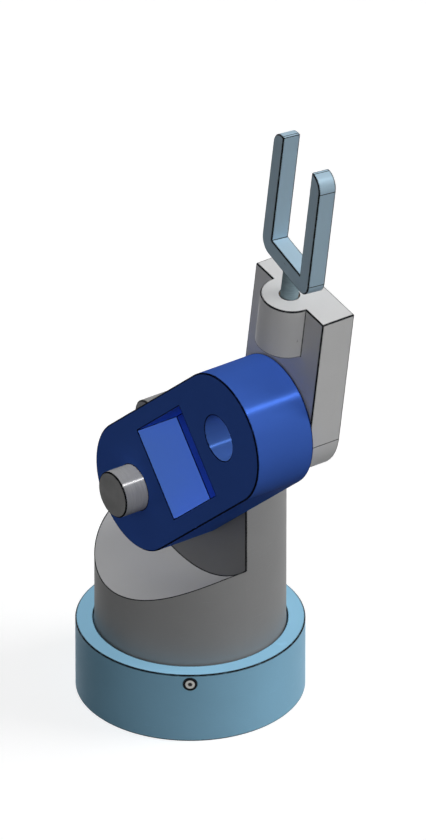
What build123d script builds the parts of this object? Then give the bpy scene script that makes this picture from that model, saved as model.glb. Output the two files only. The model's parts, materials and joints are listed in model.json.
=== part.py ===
from build123d import *
import os
from math import cos, radians, sin, sqrt

os.makedirs("parts", exist_ok=True)

# A desktop robot arm: base, turning turret, upper arm, forearm and a two-finger fork.
# Millimetres. Z is up, the arm reaches towards +X, and the links hang on the -Y side.
# The origin is on the waist axis, in the plane that the base stands on.

# Fits
held = 0.03  # radial room round a piece that is held fast
running = 0.05  # radial room round a piece that turns
face_gap = 0.3  # room between faces that pass each other
edge_break = 0.5  # chamfer along outside edges

# Base
base_rim = 10  # how far the base stands out beyond the turret
base_height = 40
base_wall = 8
cover_thickness = 4
turret_recess = 10  # how deep the turret sits in the base
deck_thickness = 8
pillar_radius = 5
mount_hole_radius = 1.65
mount_hole_depth = 12

# Guide plugs that keep the turret in the base
guide_count = 3
guide_angle = -35.3
guide_drop = 5.3  # from the base's upper rim down to the plugs
guide_insert_radius = 3.5
guide_plug_radius = 2.5
guide_tip_radius = 1.5
guide_proud = 0.4
guide_groove_depth = 2.5
guide_socket_depth = 3

# Turret
turret_radius = 50
turret_rise = 20  # from the shoulder axis up to the turret's top
turret_side_gap = 0.4
turret_lift = 1
turret_wall = 6
turret_corner = 10
saddle_room = 22.5  # from the link's round end down to the saddle
saddle_radius = 75
hub_thickness = 5
motor_floor = 8  # metal under the shoulder motor
wire_hole_radius = 4

# Waist drive
waist_motor_height = 14
motor_edge = 5  # from a large motor's edge in to its screws
waist_bearing_bore = 15
waist_bearing_radius = 21
waist_bearing_width = 7
ball_radius = 1.75
ball_count = 12

# Output shafts of the three larger gearmotors
drive_radius = 4
drive_flat = 3.3  # distance of the flat from the axis
drive_depth = 12.5  # length of shaft inside a deep gearbox

# Shoulder
shoulder_height = 130
shoulder_motor_radius = 16
carrier_wall = 2
carrier_lip = 2.5
plate_thickness = 3
plate_screw_circle = 11

# Thin ball bearings of the shoulder and the elbow
pin_radius = 12.5
bearing_section = 3.5
bearing_width = 4
race_section = 1.4  # thickness of the inner ring
clip_width = 1
clip_depth = 0.7
clip_slot = 5

# Upper arm
link_angle = 41.05
link_length = 100
link_width = 70
link_thickness = 35
pocket_size = 50
pocket_depth = 25
pin_reach = 14  # free end of the shoulder shaft
key_width = 6
key_height = 6
key_length = 16
set_screw_radius = 2.5
set_screw_length = 12
elbow_plug_length = 16
plug_floor = 4  # front wall of the elbow plug
relief_width = 1  # grooves that end the free pin and the open half of the elbow bore
relief_depth = 0.2

# Forearm
forearm_angle = 80.84
forearm_width = 60
forearm_thickness = 20
forearm_reach = 80.8
forearm_wall = 3.5
forearm_front = 3
forearm_lid = 3
lid_ledge = 1.5
boss_wall = 4.8
boss_height = 30.4
elbow_lip = 1
elbow_motor_room = 1
elbow_motor_edge = 3.5

# Wrist
wrist_motor_radius = 10
wrist_motor_room = 0.2
stem_room = 6.9  # from the wrist motor to the top wall
wrist_drive_radius = 2
stem_inset = 0.3  # how far the stem stays inside the fork's faces
stem_clip_width = 0.8
bush_wall = 1.8
bush_length = 4.5
bush_flange = 1.5
clamp_width = 8
clamp_wall = 1.5

# Fork
fork_roll = 7.05  # turn of the fork about the wrist axis
fork_foot = 96  # underside of the bar, from the elbow axis
fork_top = 171.5
fork_width = 49.7
fork_depth = 10
finger_width = 9.45
bar_thickness = 9.65
fork_corner = 8
stem_seat = 6

# Screws
screw_size = 3
small_screw_size = 2.5
head_ratio = 0.92  # head radius over thread diameter
socket_ratio = 0.48  # socket corner radius over thread diameter
screw_bite = 8  # thread in a thick piece
short_screw_bite = 5  # and in a thin one
elbow_screw_bite = 4
clamp_screw_bite = 5
hole_spare = 1  # what a hole is deeper than its screw

# Heights and radii of the base and the turret
base_radius = turret_radius + base_rim
deck_top = base_height - turret_recess
deck_bottom = deck_top - deck_thickness
room_radius = base_radius - base_wall
turret_bottom = deck_top + turret_lift
hub_top = turret_bottom + hub_thickness
skirt_radius = turret_radius - turret_wall
waist_bearing_bottom = deck_top - waist_bearing_width
waist_bearing_middle = deck_top - waist_bearing_width / 2
ball_circle = (waist_bearing_bore + waist_bearing_radius) / 2
pillar_circle = room_radius - pillar_radius + 1
mount_circle = (room_radius + base_radius) / 2
guide_height = base_height - guide_drop
turret_top = shoulder_height + turret_rise
saddle_floor = shoulder_height - link_width / 2 - saddle_room
room_top = saddle_floor - turret_wall
wall_room_top = shoulder_height - shoulder_motor_radius - motor_floor

# Radii of what sits inside
race_radius = pin_radius + race_section
bearing_radius = pin_radius + bearing_section
carrier_radius = bearing_radius + carrier_wall
elbow_motor_radius = forearm_width / 2 - forearm_wall - elbow_motor_room
elbow_screw_circle = elbow_motor_radius - elbow_motor_edge
elbow_ring_radius = elbow_screw_circle - screw_size / 2 - hole_spare / 2
channel_radius = wrist_motor_radius + wrist_motor_room
boss_radius = channel_radius + boss_wall
stem_radius = fork_depth / 2 - stem_inset

# Places along the shoulder and elbow axes
link_back = -face_gap
link_front = link_back - link_thickness
elbow_x = link_length * cos(radians(link_angle))
elbow_z = shoulder_height + link_length * sin(radians(link_angle))
forearm_back = forearm_thickness
forearm_room_back = forearm_thickness - forearm_lid

# Directions and planes
reach = Vector(cos(radians(forearm_angle)), 0, sin(radians(forearm_angle)))
across = Vector(sin(radians(forearm_angle)), 0, -cos(radians(forearm_angle)))
fork_across = across * cos(radians(fork_roll)) - Vector(0, 1, 0) * sin(radians(fork_roll))
elbow = Vector(elbow_x, 0, elbow_z)
shoulder = Vector(0, 0, shoulder_height)
waist_turning = Plane.XZ
shoulder_turning = Plane(origin=shoulder, x_dir=(1, 0, 0), z_dir=(0, 0, 1))
elbow_turning = Plane(origin=elbow, x_dir=(1, 0, 0), z_dir=(0, 0, 1))
wrist_turning = Plane(origin=elbow, x_dir=fork_across, z_dir=fork_across.cross(reach))
waist_axis = Axis.Z
shoulder_axis = Axis(shoulder, (0, 1, 0))
elbow_axis = Axis(elbow, (0, 1, 0))
wrist_axis = Axis(elbow, reach)


def side_plane(centre, depth, angle):
    # A plane parallel to the side of the arm. Its normal is -Y and its x runs at the angle.
    along = (cos(radians(angle)), 0, sin(radians(angle)))
    return Plane(origin=centre + Vector(0, depth, 0), x_dir=along, z_dir=(0, -1, 0))


def turret_side(depth):
    return side_plane(shoulder, depth, 0)


def link_side(depth):
    return side_plane(shoulder, depth, link_angle)


def link_end(depth):
    return side_plane(elbow, depth, link_angle)


def forearm_side(depth):
    return side_plane(elbow, depth, forearm_angle - 90)


def wrist_plane(distance):
    return Plane(origin=elbow + reach * distance, x_dir=across, z_dir=reach)


def radial_plane(angle, radius, height):
    # A plane that faces outwards from the waist axis.
    out = Vector(cos(radians(angle)), sin(radians(angle)), 0)
    return Plane(
        origin=out * radius + Vector(0, 0, height),
        x_dir=(-out.Y, out.X, 0),
        z_dir=out,
    )


def underside(height):
    return Plane(origin=(0, 0, height), x_dir=(1, 0, 0), z_dir=(0, 0, -1))


def circle_spots(radius, count, start):
    step = 360 / count
    return [
        (radius * cos(radians(start + step * i)), radius * sin(radians(start + step * i)))
        for i in range(count)
    ]


# Screws, bearings and shafts that repeat


def socket_screws(seat, spots, size, length):
    # Cap screws whose heads stand on the seat plane.
    with BuildPart() as screws:
        with BuildSketch(seat):
            with Locations(*spots):
                Circle(size * head_ratio)
        extrude(amount=size)
        with BuildSketch(seat):
            with Locations(*spots):
                Circle(size / 2)
        extrude(amount=-length)
        with BuildSketch(seat.offset(size)):
            with Locations(*spots):
                RegularPolygon(size * socket_ratio, 6)
        extrude(amount=-size / 2, mode=Mode.SUBTRACT)
    return screws.part


def flush_screws(face, spots, size, length):
    # Countersunk screws whose heads end in the face plane.
    with BuildPart() as screws:
        with BuildSketch(face):
            with Locations(*spots):
                Circle(size)
        extrude(amount=-size / 2, taper=45)
        with BuildSketch(face):
            with Locations(*spots):
                Circle(size / 2)
        extrude(amount=-length)
        with BuildSketch(face):
            with Locations(*spots):
                RegularPolygon(size * socket_ratio, 6)
        extrude(amount=-size / 2, mode=Mode.SUBTRACT)
    return screws.part


def flush_holes(face, spots, size, depth):
    # The holes that countersunk screws sit in.
    with BuildPart() as holes:
        with BuildSketch(face):
            with Locations(*spots):
                Circle(size + held)
        extrude(amount=-size / 2, taper=45)
        with BuildSketch(face):
            with Locations(*spots):
                Circle(size / 2 + held)
        extrude(amount=-depth)
    return holes.part


def plain_holes(face, spots, radius, depth):
    with BuildPart() as holes:
        with BuildSketch(face):
            with Locations(*spots):
                Circle(radius)
        extrude(amount=-depth)
    return holes.part


def drive_bar(start, length, room, radius, flat):
    # A round shaft with one flat, or with some room the bore that it drives.
    with BuildPart() as bar:
        with BuildSketch(start):
            Circle(radius + room)
            with Locations((flat + room + radius, 0)):
                Rectangle(2 * radius, 4 * radius, mode=Mode.SUBTRACT)
        extrude(amount=length)
    return bar.part


def turned(turning, axis, points):
    # A piece turned on a lathe, from its half section.
    with BuildPart() as piece:
        with BuildSketch(turning):
            with BuildLine():
                Polyline(*points, close=True)
            make_face()
        revolve(axis=axis)
    return piece.part


def bearing_outer(turning, axis, start):
    # Outer ring of a sealed thin bearing, with its two seals.
    seal = 0.3
    seal_radius = (race_radius + bearing_radius) / 2
    end = start + bearing_width
    return turned(
        turning,
        axis,
        [
            (bearing_radius, start),
            (bearing_radius, end),
            (seal_radius, end),
            (seal_radius, end - seal),
            (race_radius + running, end - seal),
            (race_radius + running, start + seal),
            (seal_radius, start + seal),
            (seal_radius, start),
        ],
    )


def ring(turning, axis, inner, outer, start, width):
    end = start + width
    return turned(turning, axis, [(inner, start), (outer, start), (outer, end), (inner, end)])


def clip(turning, axis, slot_plane, shaft_radius, start, width):
    # A snap ring that sits in a groove of a shaft.
    with BuildPart() as piece:
        add(ring(turning, axis, shaft_radius - clip_depth + held, shaft_radius + 1.1, start, width))
        with BuildSketch(slot_plane):
            with Locations((shaft_radius, 0)):
                Rectangle(shaft_radius * 2 - clip_depth, shaft_radius * clip_slot / pin_radius)
        extrude(amount=width * 3, both=True, mode=Mode.SUBTRACT)
    return piece.part


# Base housing: a cup with a deck across it. The turret turns in the recess above the deck.

cover_spots = circle_spots(pillar_circle, 4, 45)
mount_spots = circle_spots(mount_circle, 4, 45)
board_length = 40
board_width = 12
board_corner = 1.8  # room between the board's corners and the base's wall
board_motor_gap = 2
board_thickness = 1.6
board_drop = 8.4  # underside of the deck down to the board
board_end = 4  # from the board's end in to its screws
board_edge = sqrt((room_radius - board_corner) ** 2 - (board_length / 2) ** 2)
board_middle = board_edge - board_width / 2
board_spots = [(board_middle, side * (board_length / 2 - board_end)) for side in (-1, 1)]
board_top = deck_bottom - board_drop
waist_motor_radius = board_edge - board_width - board_motor_gap
waist_screw_spots = circle_spots(waist_motor_radius - motor_edge, 4, 45)
socket_angle = 180
socket_height = 13
socket_radius = 4

with BuildPart() as base_housing:
    with BuildSketch(waist_turning):
        with BuildLine():
            Polyline(
                (waist_bearing_radius - 2, deck_bottom),
                (room_radius, deck_bottom),
                (room_radius, 0),
                (base_radius, 0),
                (base_radius, base_height),
                (turret_radius + turret_side_gap, base_height),
                (turret_radius + turret_side_gap, deck_top),
                (waist_bearing_radius + held, deck_top),
                (waist_bearing_radius + held, waist_bearing_bottom),
                (waist_bearing_radius - 2, waist_bearing_bottom),
                close=True,
            )
        make_face()
    revolve(axis=waist_axis)
    rims = base_housing.edges().filter_by(GeomType.CIRCLE)
    rims = rims.filter_by(lambda rim: rim.radius > turret_radius and rim.center().Z in (0, base_height))
    chamfer(rims.filter_by(lambda rim: rim.radius > room_radius + 1 or rim.center().Z > 0), edge_break)
    with BuildSketch(Plane.XY.offset(cover_thickness)):
        with Locations(*cover_spots):
            Circle(pillar_radius)
    extrude(amount=deck_bottom - cover_thickness)
    with BuildSketch(Plane.XY.offset(board_top)):
        with Locations(*board_spots):
            Circle(screw_size)
    extrude(amount=board_drop)
    add(
        plain_holes(underside(cover_thickness), cover_spots, screw_size / 2 + held, screw_bite + hole_spare),
        mode=Mode.SUBTRACT,
    )
    add(
        plain_holes(underside(board_top), board_spots, screw_size / 2 + held, short_screw_bite + hole_spare),
        mode=Mode.SUBTRACT,
    )
    add(plain_holes(underside(0), mount_spots, mount_hole_radius, mount_hole_depth), mode=Mode.SUBTRACT)
    add(
        plain_holes(Plane.XY.offset(deck_top), waist_screw_spots, screw_size / 2 + held, deck_thickness),
        mode=Mode.SUBTRACT,
    )
    add(
        plain_holes(
            Plane.XY.offset(deck_top),
            waist_screw_spots,
            screw_size * head_ratio + held,
            screw_size,
        ),
        mode=Mode.SUBTRACT,
    )
    for i in range(guide_count):
        with BuildSketch(radial_plane(guide_angle + i * 360 / guide_count, turret_radius, guide_height)):
            Circle(guide_insert_radius + held)
        extrude(amount=base_radius, mode=Mode.SUBTRACT)
    with BuildSketch(radial_plane(socket_angle, room_radius - 1, socket_height)):
        Circle(socket_radius + held)
    extrude(amount=base_radius, mode=Mode.SUBTRACT)
base_housing.part.label = "base_housing"
export_step(base_housing.part, "parts/base_housing.step")

with BuildPart() as base_cover:
    with BuildSketch(Plane.XY):
        Circle(room_radius - held)
    extrude(amount=cover_thickness)
    add(flush_holes(underside(0), cover_spots, screw_size, cover_thickness), mode=Mode.SUBTRACT)
base_cover.part.label = "base_cover"
export_step(base_cover.part, "parts/base_cover.step")

with BuildPart() as base_cover_screws:
    add(flush_screws(underside(0), cover_spots, screw_size, cover_thickness + screw_bite))
base_cover_screws.part.label = "base_cover_screws"
export_step(base_cover_screws.part, "parts/base_cover_screws.step")

# Power inlet at the back of the base: a round jack with a centre pin, held by a nut inside.

jack_flange_radius = 6.5
jack_flange = 1.5
jack_bore_radius = 3.2
jack_pin_radius = 1
jack_depth = 9
jack_length = 16
nut_height = 2.5
jack_face = base_radius + jack_flange

with BuildPart() as power_socket:
    with BuildSketch(radial_plane(socket_angle, base_radius, socket_height)):
        Circle(jack_flange_radius)
    extrude(amount=jack_flange)
    with BuildSketch(radial_plane(socket_angle, base_radius, socket_height)):
        Circle(socket_radius)
    extrude(amount=-jack_length)
    with BuildSketch(radial_plane(socket_angle, jack_face, socket_height)):
        Circle(jack_bore_radius)
        Circle(jack_pin_radius, mode=Mode.SUBTRACT)
    extrude(amount=-jack_depth, mode=Mode.SUBTRACT)
power_socket.part.label = "power_socket"
export_step(power_socket.part, "parts/power_socket.step")

nut_seat = sqrt(room_radius**2 - (2 * socket_radius) ** 2) - nut_height
with BuildPart() as power_socket_nut:
    with BuildSketch(radial_plane(socket_angle, nut_seat, socket_height)):
        RegularPolygon(socket_radius * 1.6, 6)
        Circle(socket_radius + held, mode=Mode.SUBTRACT)
    extrude(amount=nut_height)
power_socket_nut.part.label = "power_socket_nut"
export_step(power_socket_nut.part, "parts/power_socket_nut.step")

# Motor controller, hung from the deck on two bosses.

with BuildPart() as controller_board:
    with BuildSketch(Plane.XY.offset(board_top)):
        with Locations((board_middle, 0)):
            Rectangle(board_width, board_length)
    extrude(amount=-board_thickness)
    with BuildSketch(Plane.XY.offset(board_top)):
        with Locations((board_middle, 0)):
            Rectangle(board_width / 2, board_width)
    extrude(amount=board_thickness)
    with BuildSketch(Plane.XY.offset(board_top - board_thickness)):
        with GridLocations(0, board_length / 3, 1, 2):
            with Locations((board_middle, 0)):
                Rectangle(board_width / 2, board_width / 2)
    extrude(amount=-2 * board_thickness)
    add(
        plain_holes(Plane.XY.offset(board_top), board_spots, screw_size / 2 + held, board_thickness),
        mode=Mode.SUBTRACT,
    )
controller_board.part.label = "controller_board"
export_step(controller_board.part, "parts/controller_board.step")

with BuildPart() as board_screws:
    add(
        socket_screws(
            underside(board_top - board_thickness),
            board_spots,
            screw_size,
            board_thickness + short_screw_bite,
        )
    )
board_screws.part.label = "board_screws"
export_step(board_screws.part, "parts/board_screws.step")

# Waist drive: a flat gearmotor under the deck turns the turret's hub.

motor_pilot_radius = 11
motor_pilot = 2
waist_pilot = waist_bearing_bottom - deck_bottom
waist_drive_start = deck_bottom + waist_pilot - drive_depth
waist_drive_end = turret_bottom + hub_thickness - 2

with BuildPart() as waist_motor:
    with BuildSketch(waist_turning):
        with BuildLine():
            Polyline(
                (0, deck_bottom - waist_motor_height),
                (waist_motor_radius, deck_bottom - waist_motor_height),
                (waist_motor_radius, deck_bottom),
                (motor_pilot_radius, deck_bottom),
                (motor_pilot_radius, deck_bottom + waist_pilot),
                (drive_radius + running, deck_bottom + waist_pilot),
                (drive_radius + running, waist_drive_start - face_gap),
                (0, waist_drive_start - face_gap),
                close=True,
            )
        make_face()
    revolve(axis=waist_axis)
    add(
        plain_holes(
            Plane.XY.offset(deck_bottom),
            waist_screw_spots,
            screw_size / 2 + held,
            short_screw_bite + hole_spare,
        ),
        mode=Mode.SUBTRACT,
    )
waist_motor.part.label = "waist_motor"
export_step(waist_motor.part, "parts/waist_motor.step")

waist_screw_length = deck_thickness - screw_size + short_screw_bite
with BuildPart() as waist_motor_screws:
    add(
        socket_screws(
            Plane.XY.offset(deck_top - screw_size),
            waist_screw_spots,
            screw_size,
            waist_screw_length,
        )
    )
waist_motor_screws.part.label = "waist_motor_screws"
export_step(waist_motor_screws.part, "parts/waist_motor_screws.step")

with BuildPart() as waist_drive_shaft:
    add(
        drive_bar(
            Plane.XY.offset(waist_drive_start),
            waist_drive_end - waist_drive_start,
            0,
            drive_radius,
            drive_flat,
        )
    )
waist_drive_shaft.part.label = "waist_drive_shaft"
export_step(waist_drive_shaft.part, "parts/waist_drive_shaft.step")

# Ball bearing that carries the turret.

race_gap = ball_radius * 1.25  # room between the two rings

with BuildPart() as waist_bearing_outer:
    with BuildSketch(waist_turning):
        with Locations((ball_circle, waist_bearing_bottom)):
            Rectangle(
                waist_bearing_radius - ball_circle,
                waist_bearing_width,
                align=(Align.MIN, Align.MIN),
            )
        with Locations((ball_circle, waist_bearing_middle)):
            Rectangle(race_gap, waist_bearing_width, mode=Mode.SUBTRACT)
            Circle(ball_radius + running, mode=Mode.SUBTRACT)
    revolve(axis=waist_axis)
waist_bearing_outer.part.label = "waist_bearing_outer"
export_step(waist_bearing_outer.part, "parts/waist_bearing_outer.step")

with BuildPart() as waist_bearing_inner:
    with BuildSketch(waist_turning):
        with Locations((waist_bearing_bore, waist_bearing_bottom)):
            Rectangle(
                ball_circle - waist_bearing_bore,
                waist_bearing_width,
                align=(Align.MIN, Align.MIN),
            )
        with Locations((ball_circle, waist_bearing_middle)):
            Rectangle(race_gap, waist_bearing_width, mode=Mode.SUBTRACT)
            Circle(ball_radius + running, mode=Mode.SUBTRACT)
    revolve(axis=waist_axis)
waist_bearing_inner.part.label = "waist_bearing_inner"
export_step(waist_bearing_inner.part, "parts/waist_bearing_inner.step")

with BuildPart() as waist_bearing_balls:
    with Locations((0, 0, waist_bearing_middle)):
        with PolarLocations(ball_circle, ball_count):
            Sphere(ball_radius)
waist_bearing_balls.part.label = "waist_bearing_balls"
export_step(waist_bearing_balls.part, "parts/waist_bearing_balls.step")

# Guide plugs: acetal plugs in steel inserts. Their tips run in a groove of the turret.

guide_tip_end = turret_radius - guide_groove_depth + face_gap
guide_body_start = turret_radius + 2 * turret_side_gap
guide_groove_half = guide_tip_radius + face_gap / 2
guide_socket = guide_plug_radius * socket_ratio

with BuildPart() as guide_inserts:
    for i in range(guide_count):
        with BuildSketch(radial_plane(guide_angle + i * 360 / guide_count, guide_body_start, guide_height)):
            Circle(guide_insert_radius)
            Circle(guide_plug_radius + held, mode=Mode.SUBTRACT)
        extrude(amount=base_radius + guide_proud - guide_body_start)
guide_inserts.part.label = "guide_inserts"
export_step(guide_inserts.part, "parts/guide_inserts.step")

with BuildPart() as guide_plugs:
    for i in range(guide_count):
        angle = guide_angle + i * 360 / guide_count
        with BuildSketch(radial_plane(angle, guide_body_start, guide_height)):
            Circle(guide_plug_radius)
        extrude(amount=base_radius + guide_proud - guide_body_start)
        with BuildSketch(radial_plane(angle, guide_body_start, guide_height)):
            Circle(guide_tip_radius)
        extrude(amount=guide_tip_end - guide_body_start)
        with BuildSketch(radial_plane(angle, base_radius + guide_proud, guide_height)):
            RegularPolygon(guide_socket, 6)
        extrude(amount=-guide_socket_depth, mode=Mode.SUBTRACT)
guide_plugs.part.label = "guide_plugs"
export_step(guide_plugs.part, "parts/guide_plugs.step")

# Turret: a round body whose front is cut down to a hollow saddle, so that the upper arm can swing.

plate_front = carrier_lip + bearing_width + 2
plate_back = plate_front + plate_thickness
shoulder_motor_back = sqrt(skirt_radius**2 - shoulder_motor_radius**2)
hub_screw_count = 6
hub_screw_start = 30  # angle of the first
hub_screw_circle = skirt_radius - screw_size - hole_spare
hub_screw_spots = circle_spots(hub_screw_circle, hub_screw_count, hub_screw_start)

rim_height = saddle_floor + saddle_radius - sqrt(saddle_radius**2 - turret_radius**2)

with BuildPart() as wall_edge:
    # What the edge break takes off round the wall's front face, above the saddle's rim
    with BuildSketch(Plane.XZ.offset(-edge_break)):
        with Locations((0, rim_height)):
            Rectangle(3 * turret_radius, 2 * turret_radius, align=(Align.CENTER, Align.MIN))
    extrude(amount=2 * edge_break)
    with BuildSketch(Plane.XZ.offset(-edge_break)) as wall_outline:
        with Locations((0, turret_bottom)):
            Rectangle(2 * turret_radius, turret_top - turret_bottom, align=(Align.CENTER, Align.MIN))
        fillet(wall_outline.vertices().group_by(Axis.Y)[-1], turret_corner)
    extrude(amount=2 * edge_break, taper=45, mode=Mode.SUBTRACT)

with BuildPart() as turret_body:
    with BuildSketch(Plane.XY.offset(turret_bottom)):
        Circle(turret_radius)
    extrude(amount=turret_top - turret_bottom)
    with BuildSketch(Plane.XZ) as turret_front:
        with Locations((0, turret_bottom)):
            Rectangle(2 * turret_radius, turret_top - turret_bottom, align=(Align.CENTER, Align.MIN))
        fillet(turret_front.vertices().group_by(Axis.Y)[-1], turret_corner)
    extrude(amount=turret_radius, both=True, mode=Mode.INTERSECT)
    with BuildSketch(Plane.XZ):
        with Locations((0, saddle_floor + saddle_radius)):
            Circle(saddle_radius)
    extrude(amount=2 * turret_radius, mode=Mode.SUBTRACT)
    add(wall_edge.part, mode=Mode.SUBTRACT)
    with BuildSketch(Plane.XY.offset(guide_height - guide_groove_half)):
        Circle(turret_radius + 1)
        Circle(turret_radius - guide_groove_depth, mode=Mode.SUBTRACT)
    extrude(amount=2 * guide_groove_half, mode=Mode.SUBTRACT)
    # The room for wiring, closed by the hub plate, and its higher part inside the wall
    with BuildSketch(Plane.XY.offset(turret_bottom)):
        Circle(skirt_radius)
    extrude(amount=room_top - turret_bottom, mode=Mode.SUBTRACT)
    with BuildSketch(Plane.XY.offset(room_top)):
        Circle(skirt_radius)
        with Locations((0, turret_wall)):
            Rectangle(
                2 * turret_radius,
                2 * turret_radius,
                align=(Align.CENTER, Align.MAX),
                mode=Mode.SUBTRACT,
            )
    extrude(amount=wall_room_top - room_top, mode=Mode.SUBTRACT)
    with BuildSketch(Plane.XY.offset(hub_top)):
        with Locations(*hub_screw_spots):
            Circle(turret_wall)
    extrude(amount=room_top - hub_top)
    add(
        plain_holes(underside(hub_top), hub_screw_spots, screw_size / 2 + held, screw_bite + hole_spare),
        mode=Mode.SUBTRACT,
    )
    # The stepped bore of the shoulder drive and the hole for its wires
    add(
        turned(
            shoulder_turning,
            shoulder_axis,
            [
                (0, -1),
                (carrier_radius + held, -1),
                (carrier_radius + held, plate_back),
                (shoulder_motor_radius, plate_back),
                (shoulder_motor_radius, shoulder_motor_back + face_gap),
                (0, shoulder_motor_back + face_gap),
            ],
        ),
        mode=Mode.SUBTRACT,
    )
    with BuildSketch(Plane.XY.offset(wall_room_top - 1)):
        with Locations((0, (plate_back + shoulder_motor_back) / 2)):
            Circle(wire_hole_radius)
    extrude(amount=shoulder_height - wall_room_top, mode=Mode.SUBTRACT)
turret_body.part.label = "turret_body"
export_step(turret_body.part, "parts/turret_body.step")

# Hub: closes the turret from below, stands on the bearing's inner ring and takes the drive.

hub_pad_radius = ball_circle - race_gap / 2 - 0.3

with BuildPart() as turret_hub:
    add(
        turned(
            waist_turning,
            waist_axis,
            [
                (0, waist_bearing_bottom + edge_break),
                (waist_bearing_bore - held, waist_bearing_bottom + edge_break),
                (waist_bearing_bore - held, deck_top),
                (hub_pad_radius, deck_top),
                (hub_pad_radius, turret_bottom),
                (skirt_radius - held, turret_bottom),
                (skirt_radius - held, hub_top),
                (0, hub_top),
            ],
        )
    )
    add(
        drive_bar(
            Plane.XY.offset(deck_bottom),
            waist_drive_end + held - deck_bottom,
            held,
            drive_radius,
            drive_flat,
        ),
        mode=Mode.SUBTRACT,
    )
    add(flush_holes(underside(turret_bottom), hub_screw_spots, screw_size, hub_thickness), mode=Mode.SUBTRACT)
turret_hub.part.label = "turret_hub"
export_step(turret_hub.part, "parts/turret_hub.step")

with BuildPart() as turret_hub_screws:
    add(flush_screws(underside(turret_bottom), hub_screw_spots, screw_size, hub_thickness + screw_bite))
turret_hub_screws.part.label = "turret_hub_screws"
export_step(turret_hub_screws.part, "parts/turret_hub_screws.step")

# Shoulder drive, from the wall's face inwards: a screwed ring that holds the bearing, the motor's
# plate and the motor.

plate_spots = circle_spots(plate_screw_circle, 4, 45)
outer_race_radius = (race_radius + bearing_radius) / 2
race_opening = outer_race_radius + 0.25  # bore of what covers a bearing's outer ring
rim_front = carrier_lip + bearing_width
shoulder_pilot_radius = 7
spanner_hole_radius = 0.9

with BuildPart() as shoulder_bearing_carrier:
    add(
        turned(
            shoulder_turning,
            shoulder_axis,
            [
                (race_opening, 0),
                (carrier_radius, 0),
                (carrier_radius, plate_front),
                (bearing_radius + held, plate_front),
                (bearing_radius + held, carrier_lip),
                (race_opening, carrier_lip),
            ],
        )
    )
    with BuildSketch(turret_side(0)):
        with PolarLocations((outer_race_radius + carrier_radius) / 2, 2):
            Circle(spanner_hole_radius)
    extrude(amount=-carrier_lip / 2, mode=Mode.SUBTRACT)
shoulder_bearing_carrier.part.label = "shoulder_bearing_carrier"
export_step(shoulder_bearing_carrier.part, "parts/shoulder_bearing_carrier.step")

with BuildPart() as shoulder_bearing_outer:
    add(bearing_outer(shoulder_turning, shoulder_axis, carrier_lip))
shoulder_bearing_outer.part.label = "shoulder_bearing_outer"
export_step(shoulder_bearing_outer.part, "parts/shoulder_bearing_outer.step")

with BuildPart() as shoulder_motor_plate:
    add(
        turned(
            shoulder_turning,
            shoulder_axis,
            [
                (shoulder_pilot_radius + held, plate_front),
                (outer_race_radius, plate_front),
                (outer_race_radius, rim_front),
                (bearing_radius - held, rim_front),
                (bearing_radius - held, plate_front),
                (carrier_radius - held, plate_front),
                (carrier_radius - held, plate_back),
                (shoulder_pilot_radius + held, plate_back),
            ],
        )
    )
    add(
        flush_holes(turret_side(plate_front), plate_spots, small_screw_size, plate_thickness),
        mode=Mode.SUBTRACT,
    )
shoulder_motor_plate.part.label = "shoulder_motor_plate"
export_step(shoulder_motor_plate.part, "parts/shoulder_motor_plate.step")

with BuildPart() as shoulder_motor:
    add(
        turned(
            shoulder_turning,
            shoulder_axis,
            [
                (drive_radius + running, plate_back - motor_pilot),
                (shoulder_pilot_radius, plate_back - motor_pilot),
                (shoulder_pilot_radius, plate_back),
                (shoulder_motor_radius - held, plate_back),
                (shoulder_motor_radius - held, shoulder_motor_back),
                (0, shoulder_motor_back),
                (0, plate_back + drive_depth + face_gap),
                (drive_radius + running, plate_back + drive_depth + face_gap),
            ],
        )
    )
    add(
        plain_holes(
            turret_side(plate_back),
            plate_spots,
            small_screw_size / 2 + held,
            short_screw_bite + hole_spare,
        ),
        mode=Mode.SUBTRACT,
    )
shoulder_motor.part.label = "shoulder_motor"
export_step(shoulder_motor.part, "parts/shoulder_motor.step")

with BuildPart() as shoulder_motor_screws:
    add(
        flush_screws(
            turret_side(plate_front),
            plate_spots,
            small_screw_size,
            plate_thickness + short_screw_bite,
        )
    )
shoulder_motor_screws.part.label = "shoulder_motor_screws"
export_step(shoulder_motor_screws.part, "parts/shoulder_motor_screws.step")

# Upper arm: a straight link with round ends and a square pocket in its front.

link_middle = link_back - link_thickness / 2
pocket_start = (link_length - pocket_size) / 2
plug_front = link_back - elbow_plug_length
plug_screw_depth = (link_front + pocket_depth + plug_front) / 2
shaft_front = link_front - pin_reach
shaft_back = plate_front - face_gap
clip_start = carrier_lip + bearing_width + 0.1
end_screw_seat = -pin_radius - set_screw_length + 1
set_screw_socket = set_screw_radius * 0.6


def link_cross(distance, depth):
    # A plane square to the link, facing along it, at a distance from the shoulder.
    along = Vector(cos(radians(link_angle)), 0, sin(radians(link_angle)))
    return Plane(origin=shoulder + along * distance + Vector(0, depth, 0), x_dir=(0, 1, 0), z_dir=along)


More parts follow.
